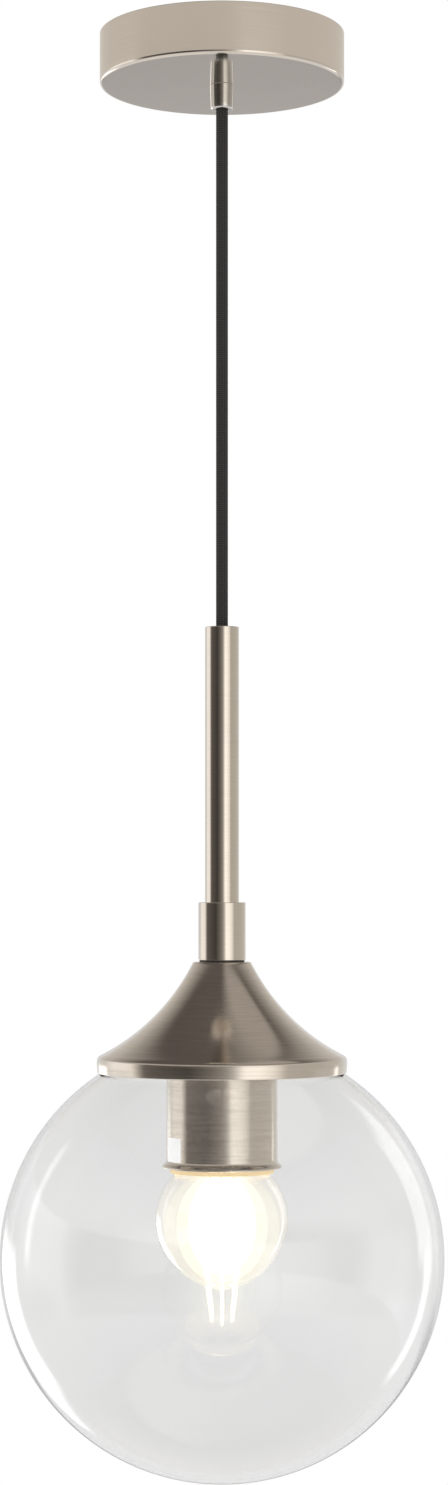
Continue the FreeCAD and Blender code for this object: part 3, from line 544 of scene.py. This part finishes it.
def make_grip():
    """The grip's threaded neck, a body a little slimmer at its foot, and a bevelled foot."""
    radius = reach("cord_grip")
    face = bottom("canopy")
    foot = bottom("cord_grip")
    bore = 3.0 * MM
    neck = 4.0 * MM
    draft = 0.35 * MM
    rim = 0.6 * MM
    outline = rounded([(bore, top("cord_grip")), (neck, top("cord_grip"), 0.4 * MM), (neck, face),
                       (radius, face, 0.2 * MM), (radius - draft, foot + rim, 0.2 * MM),
                       (radius - draft - rim, foot, 0.3 * MM),
                       (bore, foot, 0.3 * MM)], 5)
    return turned("cord_grip_body", outline, 96)


def make_cap():
    """The trumpet: a flat top, a hollow side about a centre outside it, a shoulder and a skirt."""
    wall = 1.0 * MM
    centre = (97.7 * MM, -375.5 * MM)
    sweep = 94.7 * MM
    neck = 13.4 * MM
    shoulder = 55.05 * MM
    edge = reach("flared_cap")
    high = top("flared_cap")
    low = bottom("flared_cap")
    hole = 5.2 * MM

    def angle(radius, size):
        return 180 + math.degrees(math.acos((centre[0] - radius) / size))

    outer = arc(centre, sweep, angle(neck, sweep), angle(shoulder, sweep), 40)
    inner = arc(centre, sweep + wall, angle(shoulder - 0.7 * MM, sweep + wall),
                angle(neck - 0.5 * MM, sweep + wall), 40)
    brow = outer[-1][1]
    flank = rounded([outer[-1], (edge - 0.25 * MM, brow - 0.9 * MM, 1.1 * MM),
                     (edge, brow - 3.4 * MM, 2.6 * MM), (edge - 0.35 * MM, low, 0.45 * MM),
                     (edge - wall, low, 0.3 * MM), (edge - wall, brow - 1.6 * MM, 1.2 * MM),
                     inner[0]], 6)
    crown = rounded([inner[-1], (neck - 1.6 * MM, high - wall, 0.3 * MM), (hole, high - wall),
                     (hole, high), (neck - 0.55 * MM, high, 0.5 * MM), outer[0]], 5)
    return turned("cap_shell", outer[1:] + flank[1:-1] + inner[:-1] + crown[1:], 224)


def make_cup():
    """The socket cup: a flat top, a rounded edge, a straight side and a lip turned out at its mouth."""
    wall = 0.9 * MM
    side = 25.0 * MM
    lip = reach("socket_cup")
    high = top("socket_cup")
    low = bottom("socket_cup")
    hole = 5.2 * MM
    outline = rounded([(hole, high), (side, high, 1.8 * MM), (side, low + 2.6 * MM, 1.6 * MM),
                       (lip, low + wall, 0.5 * MM), (lip, low, 0.4 * MM),
                       (side + 0.2 * MM, low, 0.8 * MM), (side - wall, low + 2.0 * MM, 1.4 * MM),
                       (side - wall, high - wall, 0.9 * MM), (hole, high - wall)], 7)
    return turned("cup_shell", outline, 192)


def make_fitter():
    """The pressed pan in the cap that takes the globe's neck."""
    wall = 0.8 * MM
    side = reach("glass_fitter")
    high = top("glass_fitter")
    low = bottom("glass_fitter")
    flat = 33.0 * MM
    corner = high - 3.6 * MM
    hole = 5.2 * MM
    outline = rounded([(hole, high), (flat, high, 1.5 * MM), (side, corner, 1.5 * MM),
                       (side, low, 0.3 * MM), (side - wall, low, 0.3 * MM),
                       (side - wall, corner - wall / 2, 1.2 * MM),
                       (flat - wall / 2, high - wall, 1.2 * MM), (hole, high - wall)], 5)
    return turned("fitter_pan", outline)


def make_turned_metal(finish):
    nickel = finish["brushed_nickel"]
    stand_in(make_canopy(), "ceiling", "brushed_nickel", finish["satin_nickel"], "canopy")
    stand_in(make_grip(), "ceiling", "polished_nickel", finish["polished_nickel"], "cord_grip")
    stand_in(make_cap(), "lamp", "brushed_nickel", nickel, "flared_cap")
    stand_in(make_cup(), "lamp", "brushed_nickel", nickel, "socket_cup")
    stand_in(make_fitter(), "lamp", "zinc_steel", finish["zinc_steel"], "glass_fitter")
    for node, name, inner, look in (
            ("stem_tube", "stem_pipe", 6.85 * MM, "drawn_nickel"),
            ("collar", "collar_sleeve", 8.05 * MM, "drawn_nickel"),
            ("collar_washer", "collar_shim", 5.2 * MM, "black_plastic"),
            ("stem_bushing", "stem_bush", 2.95 * MM, "black_plastic"),
            ("socket_sleeve", "socket_liner", 22.4 * MM, "liner")):
        slot = next(p["material_slot"] for p in frame["record"]["subparts"] if p["node"] == node)
        stand_in(turned(name, ring_outline(node, inner)), "lamp", slot, finish[look], node)


# ---- glass ----------------------------------------------------------------------------------------


def make_globe(glass):
    """The blown ball: an even wall, a soft root to its neck and a fire-polished rim."""
    wall = 1.8 * MM
    radius = reach("glass_globe")
    middle = bottom("glass_globe") + radius
    rim = top("glass_globe")
    neck = 36.0 * MM
    inside = radius - wall
    open_outer = math.degrees(math.acos((neck + 1.2 * MM) / radius))
    open_inner = math.degrees(math.acos((neck - wall) / inside))
    outer = arc((0, middle), radius, open_outer, -90, 96)
    inner = arc((0, middle), inside, -90, open_inner, 96)
    mouth = rounded([inner[-1], (neck - wall, rim, 0.8 * MM), (neck, rim, 0.8 * MM),
                     (neck, outer[0][1] + 0.5 * MM, 1.2 * MM), outer[0]], 6)
    piece = turned("globe_ball", outer + inner[:-1] + mouth[:-1], 256)
    stand_in(piece, "globe", "globe_glass", glass, "glass_globe")


def make_bulb_glass(glass):
    """The bulb's envelope: a ball, a hollow curve and a straight neck, all tangent."""
    wall = 0.7 * MM
    radius = reach("bulb_glass")
    middle = bottom("bulb_glass") + radius
    neck = 13.4 * MM
    hollow = 20.0 * MM
    bend = middle + math.sqrt((radius + hollow) ** 2 - (neck + hollow) ** 2)
    join = math.degrees(math.atan2(bend - middle, neck + hollow))

    def side(offset):
        ball = arc((0, middle), radius - offset, -90, join, 64)
        curve = arc((neck + hollow, bend), hollow + offset, 180 + join, 180, 20)
        return ball + curve[1:] + [(neck - offset, top("bulb_glass"))]

    outline = side(0.0)[::-1] + side(wall)
    piece = turned("bulb_envelope", outline, 192)
    stand_in(piece, "bulb", "bulb_clear", glass, "bulb_glass")


# Each shell's half width, half height and how far its middle hangs below the filaments' middle, in mm.
GLOW_SHELLS = ((10.5, 19.0, 0.0), (15.5, 22.5, 1.0), (20.5, 25.0, 2.0), (26.0, 27.0, 3.0))


def make_glow(lit_air_finish):
    """The overexposed air round the filaments: four faint shells, one inside the next."""
    shell = arc((0, 0), 1.0, 90, -90, 40)
    for number, (wide, tall, drop) in enumerate(GLOW_SHELLS):
        middle = (top("filaments") + bottom("filaments")) / 2 - drop * MM
        outline = [(wide * MM * r, middle + tall * MM * z) for r, z in shell]
        piece = turned(f"glow_shell_{number}", outline, 96)
        piece.data.materials.append(lit_air_finish)
        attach(piece, "bulb")


# ---- studio ---------------------------------------------------------------------------------------

# The room that the metal and glass mirror, by direction: degrees round from the front, to the right
# (positive) or the left (negative), and how bright the room is there.
ROOM = (
    (-180, (0.79, 0.79, 0.79)),
    (-135, (0.80, 0.80, 0.79)),
    (-118, (1.22, 1.21, 1.19)),
    (-92, (1.20, 1.18, 1.14)),
    (-85, (0.62, 0.60, 0.56)),
    (-77, (0.15, 0.14, 0.13)),
    (-52, (0.10, 0.092, 0.084)),
    (-30, (0.065, 0.06, 0.055)),
    (-10, (0.19, 0.18, 0.165)),
    (3, (0.34, 0.325, 0.305)),
    (11, (0.62, 0.60, 0.56)),
    (21, (1.45, 1.44, 1.40)),
    (36, (1.38, 1.36, 1.31)),
    (50, (1.10, 1.07, 1.01)),
    (62, (0.58, 0.56, 0.52)),
    (92, (0.60, 0.58, 0.53)),
    (132, (0.68, 0.66, 0.62)),
    (155, (0.82, 0.82, 0.82)),
    (180, (0.79, 0.79, 0.79)),
)
BRIGHTEST = max(max(shade) for _, shade in ROOM)

# The calm room above and below the bands, by the sine of the height angle.
OVERHEAD = (
    (-1.0, (0.90, 0.90, 0.90)),
    (-0.38, (0.88, 0.88, 0.88)),
    (-0.185, (0.78, 0.78, 0.78)),
    (0.0, (0.80, 0.79, 0.78)),
    (0.16, (0.72, 0.69, 0.64)),
    (0.28, (0.70, 0.67, 0.625)),
    (0.44, (0.60, 0.57, 0.53)),
    (0.62, (0.36, 0.34, 0.315)),
    (0.76, (0.12, 0.108, 0.10)),
    (1.0, (0.14, 0.128, 0.118)),
)

# How much of the calm room shows instead of the bands, by the sine of the height angle.
CALM_SHARE = ((-1.0, 1.0), (-0.27, 1.0), (-0.11, 0.0), (0.214, 0.0), (0.236, 0.9), (0.25, 1.0))

GREY_PANEL = (0.46, 0.43, 0.39, 1)
DIM_STRIP = (0.425, 0.42, 0.425, 1)
PLAIN_ROOM = (0.79, 0.79, 0.79, 1)
GLARE_STRENGTH = 1.3

# The soft lights: name, place from the lamp's middle, and power.
SOFT_LIGHTS = (("soft_left", (-1.2, -1.6, 0.2), 26.0), ("soft_right", (1.3, -1.2, 0.9), 14.0))
LIGHT_COLOUR = (1.0, 0.99, 0.97)
LIGHT_SIZE = (1.0, 1.4)

FLOOR_DROP = 4.1
FLOOR_REACH = 4.0


def soft_window(nodes, value, start, stop, blur):
    """One between two values and zero away from them, over a soft edge."""
    edges = [nodes.add("ShaderNodeMapRange", {"Value": value, "From Min": dark, "From Max": lit},
                       interpolation_type="SMOOTHSTEP").outputs[0]
             for dark, lit in ((start - blur, start), (stop + blur, stop))]
    return nodes.math("MULTIPLY", *edges)


def make_world():
    """A white room to the eye, and a studio of soft bands and dark flags to whatever mirrors it."""
    world = bpy.data.worlds.new("studio")
    bpy.context.scene.world = world
    nodes = Nodes(world)
    x, y, z = nodes.add("ShaderNodeSeparateXYZ", {
        0: nodes.add("ShaderNodeTexCoord").outputs["Generated"]}).outputs
    light_path = nodes.add("ShaderNodeLightPath").outputs
    outside = nodes.math("SUBTRACT", 1.0, light_path["Is Transmission Ray"])

    # The bands go by the turn round the lamp: a half is the front, and nought and one are the back.
    front = nodes.math("MULTIPLY", y, -1.0)
    turn = nodes.math("MULTIPLY_ADD", nodes.math("ARCTAN2", x, front), 0.5 / math.pi, 0.5)
    bands = nodes.ramp(turn, [((angle + 180) / 360, tuple(c / BRIGHTEST for c in shade))
                              for angle, shade in ROOM])
    bands = nodes.add("ShaderNodeVectorMath", {0: bands, 1: (BRIGHTEST,) * 3}, operation="MULTIPLY")

    # The calm part, with a grey panel overhead to the right and a dim strip low down at the back.
    level = nodes.math("MULTIPLY_ADD", z, 0.5, 0.5)
    calm = nodes.ramp(level, [(0.5 + height / 2, shade) for height, shade in OVERHEAD])
    panel = nodes.math("MULTIPLY", soft_window(nodes, x, 0.26, 0.8, 0.32),
                       soft_window(nodes, z, 0.80, 1.0, 0.05))
    calm = nodes.blend(panel, calm, GREY_PANEL)
    behind = nodes.math("SUBTRACT", 1.0, soft_window(nodes, turn, 0.12, 0.88, 0.05))
    dim = nodes.math("MULTIPLY", behind, soft_window(nodes, z, -0.30, -0.225, 0.04))
    calm = nodes.blend(nodes.math("MULTIPLY", dim, outside), calm, DIM_STRIP)

    # In front, the bands reach further down for whatever is not behind glass.
    share = nodes.ramp(level, [(0.5 + height / 2, share) for height, share in CALM_SHARE])
    ahead = nodes.math("MULTIPLY", soft_window(nodes, turn, 0.25, 0.75, 0.03),
                       soft_window(nodes, z, -0.33, 0.1, 0.06))
    kept = nodes.math("SUBTRACT", 1.0, nodes.math("MULTIPLY", ahead, outside))
    room = nodes.blend(nodes.math("MULTIPLY", share, kept), bands.outputs[0], calm)

    # Two upright strips of glare, low down at the back, edge the globe.
    strips = nodes.math("ADD", soft_window(nodes, turn, 0.068, 0.125, 0.01),
                        soft_window(nodes, turn, 0.862, 0.868, 0.012))
    glare = nodes.math("MULTIPLY", strips, soft_window(nodes, z, -0.46, -0.13, 0.12))
    glare = nodes.math("MULTIPLY", glare, GLARE_STRENGTH)
    glare = nodes.add("ShaderNodeCombineXYZ", {0: glare, 1: glare, 2: glare}).outputs[0]
    room = nodes.add("ShaderNodeVectorMath", {0: room, 1: glare}, operation="ADD").outputs[0]

    # From behind and from the sides, the room straight through the glass is plain.
    straight = nodes.math("GREATER_THAN", 0.5, light_path["Glossy Depth"])
    plain = nodes.math("MULTIPLY", nodes.math("SUBTRACT", straight, outside),
                       soft_window(nodes, turn, 0.24, 0.76, 0.05))
    room = nodes.blend(nodes.math("MAXIMUM", plain, 0.0), room, PLAIN_ROOM)

    mirrored = nodes.add("ShaderNodeBackground", {"Color": room, "Strength": 1.0})
    white = nodes.add("ShaderNodeBackground", {"Color": (1, 1, 1, 1), "Strength": 1.0})
    both = nodes.add("ShaderNodeMixShader", {0: light_path["Is Camera Ray"],
                                             1: mirrored.outputs[0], 2: white.outputs[0]})
    nodes.add("ShaderNodeOutputWorld", {"Surface": both.outputs[0]})


def soft_light(name, place, target, power):
    """A soft light that neither the metal nor the glass shows as a shape."""
    light = bpy.data.lights.new(name, "AREA")
    light.shape = "RECTANGLE"
    light.size, light.size_y = LIGHT_SIZE
    light.energy = power
    light.color = LIGHT_COLOUR
    lamp = bpy.data.objects.new(name, light)
    lamp.location = place
    lamp.rotation_euler = (target - place).to_track_quat("-Z", "Y").to_euler()
    lamp.visible_glossy = False
    lamp.visible_transmission = False
    bpy.context.scene.collection.objects.link(lamp)


def make_studio():
    make_world()
    middle = (cad_box[0] + cad_box[1]) / 2
    for name, place, power in SOFT_LIGHTS:
        soft_light(name, middle + Vector(place), middle, power)
    corners = [(x * FLOOR_REACH, y * FLOOR_REACH, cad_box[0].z - FLOOR_DROP)
               for x, y in ((-1, -1), (1, -1), (1, 1), (-1, 1))]
    floor = smooth_mesh("floor", corners, [(0, 1, 2, 3)])
    floor.data.materials.append(floor_paint())
    bpy.context.scene.view_settings.view_transform = "Standard"


def make_camera():
    """A level camera in front of the lamp, a little above its middle, shifted to frame it whole."""
    camera = bpy.data.cameras.new("camera")
    camera.lens = 75.6
    camera.sensor_width = 36.0
    camera.shift_y = 0.096
    camera.clip_start = 0.05
    camera.clip_end = 60.0
    holder = bpy.data.objects.new("camera", camera)
    holder.location = (0.0009, -1.405, -0.3832)
    holder.rotation_euler = (math.radians(90), 0, 0)
    bpy.context.scene.collection.objects.link(holder)
    bpy.context.scene.camera = holder


def main():
    make_camera()
    finish = make_materials()
    dress_nodes(finish)
    make_cord(finish["black_fabric"])
    make_turned_metal(finish)
    make_globe(finish["globe_glass"])
    make_bulb_glass(finish["bulb_clear"])
    make_glow(finish["lit_air"])
    make_studio()


main()
